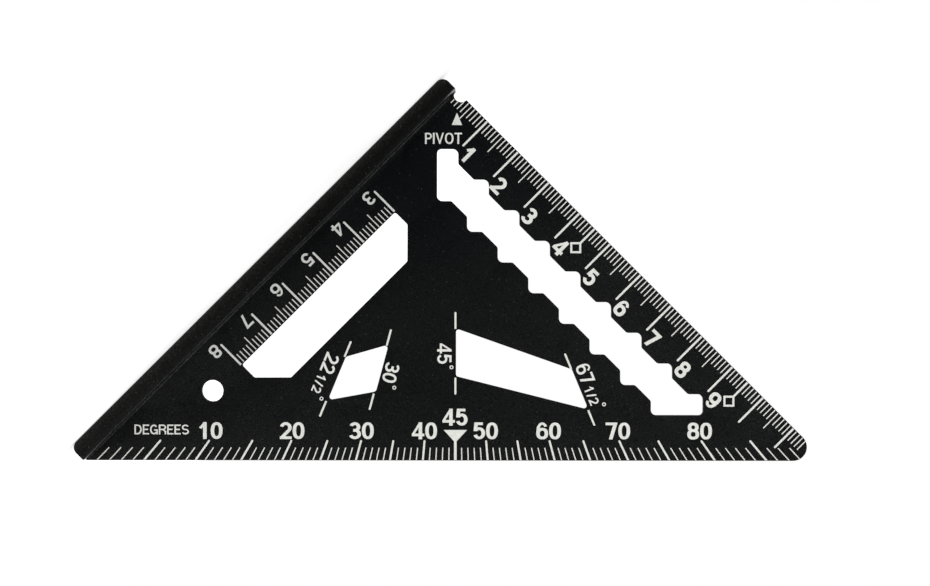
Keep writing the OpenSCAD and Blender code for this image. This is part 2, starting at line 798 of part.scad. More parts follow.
// Label that reads outwards along a guide edge
module bevel_label(angle, inside, base, whole, with_half) {
    whole_run = word_length(whole, label_w, label_stem, figure_gap);
    half_run = word_length("1/2", half_w(), half_stem, half_gap);
    end = with_half ? whole_run + label_half_space + half_run : whole_run;
    on_front()
        translate(print_point(angle, inside))
            rotate(angle)
                translate([0, base]) {
                    draw_word(whole, label_h, label_w, label_pen, label_stem, figure_gap);
                    if (with_half)
                        translate([whole_run + label_half_space, 0])
                            draw_word("1/2", half_h, half_w(), half_pen, half_stem, half_gap);
                    translate([end + label_ring_gap, with_half ? label_h - half_ring_drop : label_h])
                        difference() {
                            circle(r = label_ring_r + label_ring_pen / 2, $fn = 24);
                            circle(r = label_ring_r - label_ring_pen / 2, $fn = 24);
                        }
                }
}

// Width of the small numerals, in the proportion of the large ones
function half_w() = label_w * half_h / label_h;

module bevel_label_22() {
    bevel_label(low_angles[0], low_margins[0] + low_lengths[0] - label_starts[0][0],
        label_base_near, "22", true);
}

module bevel_label_30() {
    bevel_label(low_angles[1], low_margins[1] + low_lengths[1] - label_starts[0][1],
        label_base_far, "30", false);
}

module bevel_label_45() {
    bevel_label(high_angles[0], high_margins[0] + high_lengths[0] - label_starts[1][0],
        label_base_near, "45", false);
}

module bevel_label_67() {
    bevel_label(high_angles[1], high_margins[1] + high_lengths[1] - label_starts[1][1],
        label_base_far, "67", true);
}

// Back face

module back_leg_scale() {
    on_back()
        leg_marks();
}

module back_leg_numerals() {
    on_back()
        leg_figures(1);
}

module back_degree_scale() {
    on_back()
        degree_marks();
}

module back_degree_numerals() {
    on_back()
        at_long_edge()
            degree_figures(1);
}

blade();
fence();
fence_pins();
leg_scale();
leg_numerals();
leg_markers();
ruled_window_scale();
ruled_window_numerals();
degree_scale();
degree_numerals();
degree_pointer();
degrees_word();
pivot_marker();
pivot_word();
bevel_guides();
bevel_label_22();
bevel_label_30();
bevel_label_45();
bevel_label_67();
back_leg_scale();
back_leg_numerals();
back_degree_scale();
back_degree_numerals();
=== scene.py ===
"""Rafter square: coats, printed marks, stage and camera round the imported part."""

import math

import bmesh
import bpy
from bpy.props import FloatProperty, FloatVectorProperty, PointerProperty
from mathutils import Matrix, Vector


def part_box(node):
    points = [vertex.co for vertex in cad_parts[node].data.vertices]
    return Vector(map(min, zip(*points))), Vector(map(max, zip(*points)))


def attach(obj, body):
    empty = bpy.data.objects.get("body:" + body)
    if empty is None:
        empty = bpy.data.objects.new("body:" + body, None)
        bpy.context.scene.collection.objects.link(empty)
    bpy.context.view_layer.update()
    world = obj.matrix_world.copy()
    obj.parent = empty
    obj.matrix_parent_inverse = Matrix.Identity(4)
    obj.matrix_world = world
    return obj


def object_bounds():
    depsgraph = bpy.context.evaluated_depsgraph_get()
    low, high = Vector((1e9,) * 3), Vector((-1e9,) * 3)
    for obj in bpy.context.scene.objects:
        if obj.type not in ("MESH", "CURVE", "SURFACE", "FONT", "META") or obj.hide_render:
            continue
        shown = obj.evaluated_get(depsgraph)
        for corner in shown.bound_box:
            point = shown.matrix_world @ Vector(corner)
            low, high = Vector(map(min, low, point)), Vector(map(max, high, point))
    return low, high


bl_info = {
    "name": "Rafter Square",
    "version": (1, 0, 0),
    "blender": (4, 5, 0),
    "location": "3D View > Sidebar > Rafter Square",
    "description": "Coats, printed marks and a plain stage for a metric rafter square",
    "category": "Object",
}

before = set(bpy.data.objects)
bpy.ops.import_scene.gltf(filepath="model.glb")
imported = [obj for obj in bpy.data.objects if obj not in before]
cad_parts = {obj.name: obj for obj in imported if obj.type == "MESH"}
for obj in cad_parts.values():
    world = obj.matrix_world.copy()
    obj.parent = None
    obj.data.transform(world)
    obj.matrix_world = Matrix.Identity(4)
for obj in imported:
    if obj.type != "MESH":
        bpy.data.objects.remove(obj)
CAD_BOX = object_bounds()
BLADE_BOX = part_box("blade")
FENCE_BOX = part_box("fence")
MM = 0.001

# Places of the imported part
PRINTED_FACE = BLADE_BOX[0].y
BACK_FACE = BLADE_BOX[1].y
PIVOT_END = FENCE_BOX[0].x
FAR_END = FENCE_BOX[1].x
BASE = FENCE_BOX[0].z
LEDGE = FENCE_BOX[1].z
FENCE_BACK = FENCE_BOX[1].y

# Groups of printed nodes that share one finish
PALE_MARKS = (
    "leg_scale", "leg_numerals", "leg_markers", "degree_scale", "degree_numerals",
    "degree_pointer", "degrees_word", "pivot_marker", "pivot_word", "bevel_guides",
    "bevel_label_22", "bevel_label_30", "bevel_label_45", "bevel_label_67",
    "back_leg_scale", "back_leg_numerals", "back_degree_scale", "back_degree_numerals",
)
RULED_MARKS = ("ruled_window_scale", "ruled_window_numerals")

# Places of the colour sockets on a Mix node, whose names repeat
MIX_FACTOR, MIX_FIRST, MIX_SECOND = 0, 6, 7
MIX_RESULT = 2

# Stretches of a noise value over which a tone turns, from soft to crisp
SOFT = (0.3, 0.7)
MEDIUM = (0.32, 0.68)
CRISP = (0.35, 0.65)

# Mottling of the coat, and how much of the painted light, and of the blade's edge wear, stays in
# its patches
COAT_PATCH = 13 * MM
COAT_TONES = (0.8, 1.2)
ROUGHNESS_SPREAD = 0.06
UNEVEN_LIGHT_PATCH = 14 * MM
UNEVEN_LIGHT_SHARES = (0.6, 1)

# Strips of painted light on the coat, from where they begin to where they are full
FOOT_LIGHT_STRIP = (1.4 * MM, 0.3 * MM)  # above the ledge, on the blade
BASE_HIGHLIGHT_STRIP = (0.4 * MM, 0.2 * MM)  # above the fence's base
LEDGE_HIGHLIGHT_STRIP = (-0.3 * MM, -0.15 * MM)  # below the ledge
SIDE_HIGHLIGHT_STRIP = (-0.45 * MM, -0.3 * MM)  # inside the fence's front and back
REFLECTION_STRIP = (4 * MM, 1 * MM)  # along from the pivot end

# Where the blade's middle patch is deepest, and how fast the fence's painted sheen fades above
# the base
BLADE_MIDDLE = (-10 * MM, 0, 44 * MM)
SHEEN_FADE = 4

# How far a surface is turned from a wall of the blade, 0, to a face, 1, at the two sides of
# the eased edges
PAST_WALL = (0.2, 0.45)
BEFORE_FACE = (0.85, 0.97)

# Grain: size of its patches in grains, its swing, its strength in the patches, and the tone
# that the colour is multiplied by
GRAIN_PATCHES = 4
GRAIN_SWING = (-1, 1)
GRAIN_SHARES = (0.5, 2.2)
GRAIN_LIMITS = (-1, 2)
GRAIN_TONES = (0, 3)

# Specks: spacing of their cells, where they fade as a share of a cell, and how few are pale
SPECK_CELL = 1.1 * MM
SPECK_RIM = (0.06, 0.14)
SPECK_CHANCE = (0.34, 0.85)
SPECK_RARITY = 2

# Printed ink: its tones, its pits and its finish
INK_TONES = (0.9, 1.04)
PITS_PER_PATCH = 6
PIT_STRETCH = (0.62, 0.8)
PIT_SHARES = (0, 0.35)
PIT_TONE = 0.55
INK_ROUGHNESS = 0.62
INK_SHEEN = 0.2

# Depth of the ink's unevenness and of the steel's marks
FINE_DEPTH = 0.01 * MM

# Drawn steel of the pins
WIRE_MARK = 0.15 * MM
WIRE_STRETCH = 0.06
STEEL_TONES = ((0.24, 0.245, 0.25), (0.36, 0.365, 0.37))
STEEL_ROUGHNESS = (0.28, 0.42)

# Eased edges of the metal pieces
WELD_GAP = 0.001 * MM
EASE_SEGMENTS = 2
SHARP_ANGLE = math.radians(30)

# Bead in the ledge corner: facets, how far it sinks in, and its distance from each end
BEAD_FACETS = 4
BEAD_SINK = 0.03 * MM
BEAD_START_GAP = 2 * MM
BEAD_END_GAP = 0.6 * MM

# Floor: its gap under the part, and how far away its glow begins to change
FLOOR_GAP = 0.02 * MM
GLOW_START = 0.25
WHITE = (1, 1, 1, 1)

# Camera: its sensor, which Blender counts in millimetres, and the depths that it sees
SENSOR_WIDTH = 36
NEAREST = 0.01
FARTHEST = 50


class CoatSettings(bpy.types.PropertyGroup):
    """Black coat on the blade and the fence."""

    blade_colour: FloatVectorProperty(
        name="Blade colour", description="Colour of the black coat on the blade",
        subtype="COLOR", size=3, min=0, max=1, default=(0.0064, 0.0068, 0.0067))
    # Painted shade: the blade's coat darkens beside the pivot, at the place and over the reach
    # below
    blade_shade_colour: FloatVectorProperty(
        name="Pivot colour", description="Deeper colour of the blade's coat beside the pivot",
        subtype="COLOR", size=3, min=0, max=1, default=(0.0007, 0.0010, 0.0017))
    blade_shade_place: FloatProperty(
        name="Pivot place", description="Where the blade's coat is deepest, along the ledge",
        unit="LENGTH", min=0, max=0.06, default=0.02)
    blade_shade_reach: FloatProperty(
        name="Pivot reach", description="How far the blade's deeper colour spreads",
        unit="LENGTH", min=0.01, max=0.12, default=0.063)
    middle_colour: FloatVectorProperty(
        name="Middle colour", description="Deeper colour in the middle of the blade",
        subtype="COLOR", size=3, min=0, max=1, default=(0.0046, 0.0051, 0.0050))
    middle_reach: FloatProperty(
        name="Middle reach", description="How far the middle's deeper colour spreads",
        unit="LENGTH", min=0.005, max=0.06, default=0.032)
    # Painted light: a lighter coat colour on the blade just above the ledge
    foot_light_colour: FloatVectorProperty(
        name="Foot colour", description="Colour of the blade's coat just above the ledge",
        subtype="COLOR", size=3, min=0, max=1, default=(0.0068, 0.0072, 0.0071))
    # Worn edges of the blade, made lighter also as a painted highlight
    worn_highlight_colour: FloatVectorProperty(
        name="Worn colour", description="Colour of the coat on the worn edges of the blade",
        subtype="COLOR", size=3, min=0, max=1, default=(0.022, 0.023, 0.0225))
    fence_colour: FloatVectorProperty(
        name="Fence colour", description="Colour of the black coat on the fence",
        subtype="COLOR", size=3, min=0, max=1, default=(0.0056, 0.0056, 0.0054))
    # Painted shade: the fence darkens towards its pivot end, over the reach below
    fence_shade_colour: FloatVectorProperty(
        name="Fence pivot colour", description="Deeper colour of the fence at the pivot end",
        subtype="COLOR", size=3, min=0, max=1, default=(0.0021, 0.0020, 0.0019))
    fence_shade_reach: FloatProperty(
        name="Fence reach", description="How far the fence's deeper colour spreads",
        unit="LENGTH", min=0.01, max=0.2, default=0.11)
    # Painted sheen: the fence's coat lightens towards its outer edge
    outer_sheen_colour: FloatVectorProperty(
        name="Polish colour", description="Colour that the fence's outer edge is rubbed to",
        subtype="COLOR", size=3, min=0, max=1, default=(0.0275, 0.0275, 0.0265))
    # Painted highlight along the fence's outer edge and its ledge edges
    edge_highlight_colour: FloatVectorProperty(
        name="Rubbed colour", description="Colour of the coat along the fence's rubbed edges",
        subtype="COLOR", size=3, min=0, max=1, default=(0.030, 0.032, 0.031))
    # Painted reflection on the ledge's edge near the pivot end
    ledge_reflection_colour: FloatVectorProperty(
        name="Bright colour", description="Colour of the ledge's edge where it is rubbed most",
        subtype="COLOR", size=3, min=0, max=1, default=(0.3, 0.305, 0.3))
    # Painted highlight: the bead's coat is lighter than the fence's
    bead_highlight_colour: FloatVectorProperty(
        name="Bead colour", description="Colour of the coat's bead in the ledge corner",
        subtype="COLOR", size=3, min=0, max=1, default=(0.031, 0.033, 0.0325))
    speck_colour: FloatVectorProperty(
        name="Speck colour", description="Colour of the small pale specks in the coat",
        subtype="COLOR", size=3, min=0, max=1, default=(0.09, 0.09, 0.085))
    roughness: FloatProperty(
        name="Blade roughness", description="Roughness of the blade's coat",
        subtype="FACTOR", min=0, max=1, default=0.5)
    fence_roughness: FloatProperty(
        name="Fence roughness", description="Roughness of the fence's coat",
        subtype="FACTOR", min=0, max=1, default=0.3)
    sheen: FloatProperty(
        name="Sheen", description="Share of light that the coat mirrors, 0.5 being plain paint",
        subtype="FACTOR", min=0, max=1, default=0.03)
    grain_size: FloatProperty(
        name="Grain size", description="Size of the fine grain in the coat",
        unit="LENGTH", precision=5, min=0.00005, max=0.005, default=0.00024)
    grain_depth: FloatProperty(
        name="Grain depth", description="Height of the fine grain",
        unit="LENGTH", precision=6, min=0, max=0.0005, default=0.00002)
    blade_edge: FloatProperty(
        name="Blade edge", description="Width of the eased edges of the blade",
        unit="LENGTH", precision=5, min=0.00002, max=0.0003, default=0.0001)
    fence_edge: FloatProperty(
        name="Fence edge", description="Width of the eased edges of the fence",
        unit="LENGTH", precision=5, min=0.00002, max=0.0004, default=0.00015)
    bead_reach: FloatProperty(
        name="Bead reach", description="Reach of the coat's bead in the ledge corner",
        unit="LENGTH", precision=5, min=0.0001, max=0.001, default=0.00032)


class PrintSettings(bpy.types.PropertyGroup):
    """Pale printed marks."""

    pale_colour: FloatVectorProperty(
        name="Mark colour", description="Colour of the printed marks",
        subtype="COLOR", size=3, min=0, max=1, default=(0.775, 0.78, 0.735))
    ruled_colour: FloatVectorProperty(
        name="Ruled mark colour", description="Colour of the marks at the ruled window",
        subtype="COLOR", size=3, min=0, max=1, default=(0.66, 0.665, 0.635))
    mottle_size: FloatProperty(
        name="Mottle size", description="Size of the uneven patches in the print",
        unit="LENGTH", precision=5, min=0.0001, max=0.01, default=0.0009)


class StageSettings(bpy.types.PropertyGroup):
    """Floor, lights and camera."""

    floor_size: FloatProperty(
        name="Floor size", description="Side of the square floor",
        unit="LENGTH", min=0.5, max=20, default=8.0)
    floor_colour: FloatVectorProperty(
        name="Floor colour", description="Colour of the pale floor",
        subtype="COLOR", size=3, min=0, max=1, default=(0.86, 0.86, 0.86))
    near_glow: FloatProperty(
        name="Near glow", description="White that the camera sees on top of the lit floor nearby",
        min=0, max=1, default=0.48)
    far_glow: FloatProperty(
        name="Far glow", description="The same far away, where less light reaches the floor",
        min=0, max=1, default=0.6)
    near_reach: FloatProperty(
        name="Near reach", description="From the part to where the floor turns to the far glow",
        unit="LENGTH", min=0.3, max=4, default=0.9)
    world_strength: FloatProperty(
        name="World strength", description="Strength of the even light all round",
        min=0, max=4, default=0.53)
    key_power: FloatProperty(
        name="Key power", description="Power of the main lamp", unit="POWER",
        min=0, max=200, default=3.8)
    fill_power: FloatProperty(
        name="Fill power", description="Power of the lamp on the other side", unit="POWER",
        min=0, max=200, default=2.8)
    back_power: FloatProperty(
        name="Back power", description="Power of the lamp behind the part", unit="POWER",
        min=0, max=200, default=4.0)
    camera_distance: FloatProperty(
        name="Camera distance", description="From the camera to the printed face",
        unit="LENGTH", min=0.2, max=5, default=0.8)
    view_width: FloatProperty(
        name="View width", description="Width that the camera sees at the printed face",
        unit="LENGTH", min=0.05, max=2, default=0.21446)
    aim_along: FloatProperty(
        name="Aim along", description="Where the camera looks, along the fence",
        unit="LENGTH", precision=6, min=-0.2, max=0.2, default=-0.028666)
    aim_up: FloatProperty(
        name="Aim up", description="Where the camera looks, up from the base",
        unit="LENGTH", precision=6, min=-0.2, max=0.2, default=0.038859)
    camera_roll: FloatProperty(
        name="Camera roll", description="Turn of the camera from the blade's long edge",
        subtype="ANGLE", min=-0.2, max=0.2, default=0.00118)


def add_node(tree, kind, **values):
    """Adds a node; each value is set on the node or on its input of that name."""
    node = tree.nodes.new(kind)
    for name, value in values.items():
        if name in node.inputs:
            node.inputs[name].default_value = value
        else:
            setattr(node, name, value)
    return node


def feed(tree, socket, value):
    """Gives a socket a plain value or another node's output."""
    if isinstance(value, bpy.types.NodeSocket):
        tree.links.new(value, socket)
    else:
        socket.default_value = value


def new_material(name):
    """A new material, its emptied tree, its output node and the place that is shaded."""
    material = bpy.data.materials.new(name)
    material.use_nodes = True
    tree = material.node_tree
    tree.nodes.clear()
    output = add_node(tree, "ShaderNodeOutputMaterial")
    place = add_node(tree, "ShaderNodeTexCoord").outputs["Object"]
    return material, tree, output, place


def noise(tree, place, size, detail=2, roughness=0.5):
    """Noise whose patches are about the given size in metres."""
    node = add_node(tree, "ShaderNodeTexNoise", Scale=1 / size, Detail=detail,
                    Roughness=roughness)
    tree.links.new(place, node.inputs["Vector"])
    return node.outputs["Fac"]


def map_range(tree, source, before, after=(0, 1)):
    """Maps a value from one range to another, held at the ends."""
    node = add_node(tree, "ShaderNodeMapRange")
    names = ("From Min", "From Max", "To Min", "To Max")
    for name, value in zip(names, (*before, *after)):
        node.inputs[name].default_value = value
    tree.links.new(source, node.inputs["Value"])
    return node.outputs["Result"]


def mix_colours(tree, factor, first, second):
    """Mixes two colours, each a plain colour or another node's output."""
    node = add_node(tree, "ShaderNodeMix", data_type="RGBA")
    tree.links.new(factor, node.inputs[MIX_FACTOR])
    for index, colour in ((MIX_FIRST, first), (MIX_SECOND, second)):
        plain = not isinstance(colour, bpy.types.NodeSocket)
        feed(tree, node.inputs[index], (*colour, 1) if plain else colour)
    return node.outputs[MIX_RESULT]


def scaled(colour, factor):
    """A colour made lighter or darker."""
    return tuple(min(1, c * factor) for c in colour)


def calculate(tree, operation, *values):
    """Result of a Math node, whose values are plain numbers or other nodes' outputs."""
    node = add_node(tree, "ShaderNodeMath", operation=operation)
    for socket, value in zip(node.inputs, values):
        feed(tree, socket, value)
    return node.outputs["Value"]


def distance_from(tree, place, point):
    """Distance of the shaded place from a fixed point."""
    node = add_node(tree, "ShaderNodeVectorMath", operation="DISTANCE")
    tree.links.new(place, node.inputs[0])
    node.inputs[1].default_value = point
    return node.outputs["Value"]


def bump(tree, height, depth, strength, normal=None):
    """Bump of a given depth in metres."""
    node = add_node(tree, "ShaderNodeBump", Strength=strength, Distance=depth)
    tree.links.new(height, node.inputs["Height"])
    if normal is not None:
        tree.links.new(normal, node.inputs["Normal"])
    return node.outputs["Normal"]


def join_shader(tree, output, colour, roughness, normal, **values):
    """Joins a Principled shader to the output; further values are set by name."""
    shader = add_node(tree, "ShaderNodeBsdfPrincipled", **values)
    feed(tree, shader.inputs["Base Color"], colour)
    feed(tree, shader.inputs["Roughness"], roughness)
    feed(tree, shader.inputs["Normal"], normal)
    tree.links.new(shader.outputs["BSDF"], output.inputs["Surface"])


class Coat:
    """Matt black coat built up layer by layer: mottling, grain, painted light and shade, worn
    edges, pale specks.
    """

    def __init__(self, name, colour, roughness, settings):
        self.settings = settings
        self.roughness = roughness
        self.material, self.tree, self.output, self.place = new_material(name)
        self.mottle = noise(self.tree, self.place, COAT_PATCH, detail=4, roughness=0.6)
        dark, pale = (scaled(colour, tone) for tone in COAT_TONES)
        self.colour = mix_colours(self.tree, map_range(self.tree, self.mottle, CRISP), dark, pale)
        parts = add_node(self.tree, "ShaderNodeSeparateXYZ")
        self.tree.links.new(self.place, parts.inputs["Vector"])
        self.along, self.across, self.up = (parts.outputs[axis] for axis in "XYZ")

    def turn_to(self, mask, colour):
        """Turns to another colour where a mask is 1."""
        self.colour = mix_colours(self.tree, mask, self.colour, colour)

    def deepen(self, point, colour, reach):
        """Turns to a deeper colour round a point."""
        away = distance_from(self.tree, self.place, point)
        self.turn_to(map_range(self.tree, away, (0, reach), (1, 0)), colour)

    def paint_uneven_light(self, mask, colour):
        """Turns to another colour where a mask is 1, unevenly along the part: painted light, and
        wear on the blade's edges.
        """
        patches = noise(self.tree, self.place, UNEVEN_LIGHT_PATCH, detail=3)
        shares = map_range(self.tree, patches, SOFT, UNEVEN_LIGHT_SHARES)
        self.turn_to(calculate(self.tree, "MULTIPLY", mask, shares), colour)

    def strip(self, place, edge, reach):
        """Mask of a strip beside an edge, from where it begins to where it is full."""
        begin, full = reach
        return map_range(self.tree, place, (edge + begin, edge + full))

    def wear_and_highlight(self, colour):
        """Turns to a worn colour, lightened also as a painted highlight, on the eased edges,
        between the walls and the faces.
        """
        parts = add_node(self.tree, "ShaderNodeSeparateXYZ")
        normal = add_node(self.tree, "ShaderNodeTexCoord").outputs["Normal"]
        self.tree.links.new(normal, parts.inputs["Vector"])
        turn = calculate(self.tree, "ABSOLUTE", parts.outputs["Y"])
        past_wall = map_range(self.tree, turn, PAST_WALL)
        before_face = map_range(self.tree, turn, BEFORE_FACE, (1, 0))
        self.paint_uneven_light(calculate(self.tree, "MULTIPLY", past_wall, before_face), colour)

    def tone_by_grain(self, grain):
        """Makes the colour lighter and darker with the grain, more so in some patches."""
        size = self.settings.grain_size * GRAIN_PATCHES
        patches = noise(self.tree, self.place, size, detail=1)
        swing = map_range(self.tree, grain, SOFT, GRAIN_SWING)
        shares = map_range(self.tree, patches, CRISP, GRAIN_SHARES)
        strong = calculate(self.tree, "MULTIPLY", swing, shares)
        toned = add_node(self.tree, "ShaderNodeVectorMath", operation="SCALE")
        self.tree.links.new(self.colour, toned.inputs[0])
        tone = map_range(self.tree, strong, GRAIN_LIMITS, GRAIN_TONES)
        self.tree.links.new(tone, toned.inputs["Scale"])
        self.colour = toned.outputs[0]

    def sprinkle(self, colour):
        """Sprinkles small specks of a pale colour, few of them at full strength."""
        cells = add_node(self.tree, "ShaderNodeTexVoronoi", Scale=1 / SPECK_CELL, Randomness=1)
        self.tree.links.new(self.place, cells.inputs["Vector"])
        specks = map_range(self.tree, cells.outputs["Distance"], SPECK_RIM, (1, 0))
        chance = map_range(self.tree, cells.outputs["Color"], SPECK_CHANCE)
        rare = calculate(self.tree, "POWER", chance, SPECK_RARITY)
        self.turn_to(calculate(self.tree, "MULTIPLY", specks, rare), colour)

    def finish(self):
        """Adds grain and specks, joins the shader and returns the material."""
        tree, settings = self.tree, self.settings
        grain = noise(tree, self.place, settings.grain_size, detail=3, roughness=0.65)
        self.tone_by_grain(grain)
        self.sprinkle(settings.speck_colour)
        spread = (self.roughness - ROUGHNESS_SPREAD, self.roughness + ROUGHNESS_SPREAD)
        roughness = map_range(tree, self.mottle, SOFT, spread)
        coarse = bump(tree, self.mottle, settings.grain_depth * 2, strength=0.4)
        normal = bump(tree, grain, settings.grain_depth, strength=0.8, normal=coarse)
        join_shader(tree, self.output, self.colour, roughness, normal,
                    **{"Specular IOR Level": settings.sheen})
        return self.material


def printed_ink(name, colour, mottle_size):
    """Matt pale ink, a little uneven in tone and thickness."""
    material, tree, output, place = new_material(name)
    mottle = noise(tree, place, mottle_size, detail=4, roughness=0.6)
    fine = noise(tree, place, mottle_size / PITS_PER_PATCH)
    dark, pale = (scaled(colour, tone) for tone in INK_TONES)
    uneven = mix_colours(tree, map_range(tree, mottle, MEDIUM), dark, pale)
    pits = map_range(tree, fine, PIT_STRETCH, PIT_SHARES)
    pitted = mix_colours(tree, pits, uneven, scaled(colour, PIT_TONE))
    join_shader(tree, output, pitted, INK_ROUGHNESS, bump(tree, fine, FINE_DEPTH, strength=0.6),
                **{"Specular IOR Level": INK_SHEEN})
    return material


def drawn_steel(name):
    """Plain steel wire with fine marks along the pin."""
    material, tree, output, place = new_material(name)
    stretch = add_node(tree, "ShaderNodeMapping", Scale=(1, WIRE_STRETCH, 1))
    tree.links.new(place, stretch.inputs["Vector"])
    lines = noise(tree, stretch.outputs["Vector"], WIRE_MARK, detail=3)
    tone = mix_colours(tree, lines, *STEEL_TONES)
    roughness = map_range(tree, lines, SOFT, STEEL_ROUGHNESS)
    normal = bump(tree, lines, FINE_DEPTH, strength=0.5)
    join_shader(tree, output, tone, roughness, normal, Metallic=1)
    return material


def dress(name, material, edge=None):
    """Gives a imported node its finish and, for the metal pieces, eased edges."""
    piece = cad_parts[name]
    for slot in range(max(1, len(piece.material_slots))):
        if slot < len(piece.data.materials):
            piece.data.materials[slot] = material
        else:
            piece.data.materials.append(material)
    if edge is None:
        return
    weld = piece.modifiers.new("Weld", "WELD")
    weld.merge_threshold = WELD_GAP
    ease = piece.modifiers.new("Eased edges", "BEVEL")
    ease.width = edge
    ease.segments = EASE_SEGMENTS
    ease.limit_method = "ANGLE"
    ease.angle_limit = SHARP_ANGLE
    ease.harden_normals = True
    piece.data.shade_smooth()


def mesh_piece(name, points, faces, material):
    """A new mesh piece that rides with the square."""
    mesh = bpy.data.meshes.new(name)
    mesh.from_pydata(points, [], faces)
    form = bmesh.new()
    form.from_mesh(mesh)
    bmesh.ops.recalc_face_normals(form, faces=form.faces)
    form.to_mesh(mesh)
    form.free()
    piece = bpy.data.objects.new(name, mesh)
    bpy.context.scene.collection.objects.link(piece)
    mesh.materials.append(material)
    mesh.shade_smooth()
    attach(piece, "root")
    return piece


class SQUARE_OT_coat_blade(bpy.types.Operator):
    """Coats the blade matt black with painted shade by the pivot, a deeper middle, painted light
    above the ledge and worn edges with a painted highlight, and eases its edges
    """

    bl_idname = "square.coat_blade"
    bl_label = "Coat the Blade"

    def execute(self, context):
        settings = context.scene.square_coat
        coat = Coat("blade_coat", settings.blade_colour, settings.roughness, settings)
        # Painted shade on the blade beside the pivot
        blade_shade_centre = (BLADE_BOX[0].x + settings.blade_shade_place, 0, LEDGE)
        coat.deepen(blade_shade_centre, settings.blade_shade_colour, settings.blade_shade_reach)
        coat.deepen(BLADE_MIDDLE, settings.middle_colour, settings.middle_reach)
        # Painted light: a lighter strip just above the ledge
        coat.paint_uneven_light(coat.strip(coat.up, LEDGE, FOOT_LIGHT_STRIP), settings.foot_light_colour)
        # Worn edges, lightened also as a painted highlight
        coat.wear_and_highlight(settings.worn_highlight_colour)
        dress("blade", coat.finish(), settings.blade_edge)
        return {"FINISHED"}


class SQUARE_OT_coat_fence(bpy.types.Operator):
    """Coats the fence black with painted shade at the pivot end, a painted sheen and highlight
    along its outer edge, and painted highlights and a painted reflection along its ledge edges
    """

    bl_idname = "square.coat_fence"
    bl_label = "Coat the Fence"

    def execute(self, context):
        settings = context.scene.square_coat
        coat = Coat("fence_coat", settings.fence_colour, settings.fence_roughness, settings)
        # Painted shade on the fence towards the pivot end
        coat.deepen((PIVOT_END, 0, LEDGE), settings.fence_shade_colour, settings.fence_shade_reach)
        # Painted sheen, growing towards the fence's outer edge
        outer = map_range(coat.tree, coat.up, (LEDGE, BASE))
        outer_sheen = calculate(coat.tree, "POWER", outer, SHEEN_FADE)
        coat.turn_to(outer_sheen, settings.outer_sheen_colour)
        # Painted highlight along the fence's outer edge
        coat.paint_uneven_light(coat.strip(coat.up, BASE, BASE_HIGHLIGHT_STRIP), settings.edge_highlight_colour)
        # Painted highlight along the ledge's edges
        high = coat.strip(coat.up, LEDGE, LEDGE_HIGHLIGHT_STRIP)
        sideways = calculate(coat.tree, "ABSOLUTE", coat.across)
        side = coat.strip(sideways, FENCE_BACK, SIDE_HIGHLIGHT_STRIP)
        ledge_highlight = calculate(coat.tree, "MULTIPLY", high, side)
        coat.paint_uneven_light(ledge_highlight, settings.edge_highlight_colour)
        # Painted reflection on the ledge's edges near the pivot end
        by_pivot = coat.strip(coat.along, PIVOT_END, REFLECTION_STRIP)
        reflection = calculate(coat.tree, "MULTIPLY", ledge_highlight, by_pivot)
        coat.paint_uneven_light(reflection, settings.ledge_reflection_colour)
        dress("fence", coat.finish(), settings.fence_edge)
        return {"FINISHED"}


class SQUARE_OT_lay_beads(bpy.types.Operator):
    """Lays the coat's thin bead in the corner between each ledge and the blade, its colour
    lightened as a painted highlight
    """

    bl_idname = "square.lay_beads"
    bl_label = "Lay the Ledge Beads"

    def execute(self, context):
        settings = context.scene.square_coat
        # Painted highlight: the bead's coat is lighter than the fence's
        material = Coat("bead_highlight_coat", settings.bead_highlight_colour, settings.fence_roughness,
                        settings).finish()
        ends = (PIVOT_END + BEAD_START_GAP, FAR_END - BEAD_END_GAP)
        for name, side, face in (("front_ledge_bead", -1, PRINTED_FACE),
                                 ("back_ledge_bead", 1, BACK_FACE)):
            section = self.section(side, face, settings.bead_reach)
            points = [(x, y, z) for x in ends for y, z in section]
            count = len(section)
            faces = [(i, (i + 1) % count, count + (i + 1) % count, count + i)
                     for i in range(count)]
            faces += [tuple(range(count)), tuple(range(count, 2 * count))]
            mesh_piece(name, points, faces, material)
        return {"FINISHED"}

    def section(self, side, face, reach):
        """Outline across a bead: sunk into the corner, and hollow where it shows."""
        inside = face - side * BEAD_SINK
        points = [(inside, LEDGE - BEAD_SINK), (face + side * reach, LEDGE - BEAD_SINK)]
        for i in range(BEAD_FACETS + 1):
            turn = math.radians(90) * i / BEAD_FACETS
            points.append((face + side * reach * (1 - math.sin(turn)),
                           LEDGE + reach * (1 - math.cos(turn))))
        points.append((inside, LEDGE + reach))
        return points


class SQUARE_OT_finish_pins(bpy.types.Operator):
    """Finishes the pins inside the fence in plain steel"""

    bl_idname = "square.finish_pins"
    bl_label = "Finish the Pins"

    def execute(self, context):
        dress("fence_pins", drawn_steel("pin_steel"))
        return {"FINISHED"}


class SQUARE_OT_print_marks(bpy.types.Operator):
    """Prints the length and degree scales, their numerals, pointers and words"""

    bl_idname = "square.print_marks"
    bl_label = "Print the Marks"

    def execute(self, context):
        marks = context.scene.square_print
        pale = printed_ink("pale_print", marks.pale_colour, marks.mottle_size)
        ruled = printed_ink("ruled_print", marks.ruled_colour, marks.mottle_size)
        for name in PALE_MARKS:
            dress(name, pale)
        for name in RULED_MARKS:
            dress(name, ruled)
        return {"FINISHED"}


def seen_directly(tree):
    """1 for what the camera sees, also in reflections, and 0 for light on the part."""
    path = add_node(tree, "ShaderNodeLightPath")
    seen = path.outputs["Is Camera Ray"]
    for name in ("Is Glossy Ray", "Is Transmission Ray"):
        seen = calculate(tree, "MAXIMUM", seen, path.outputs[name])
    return seen


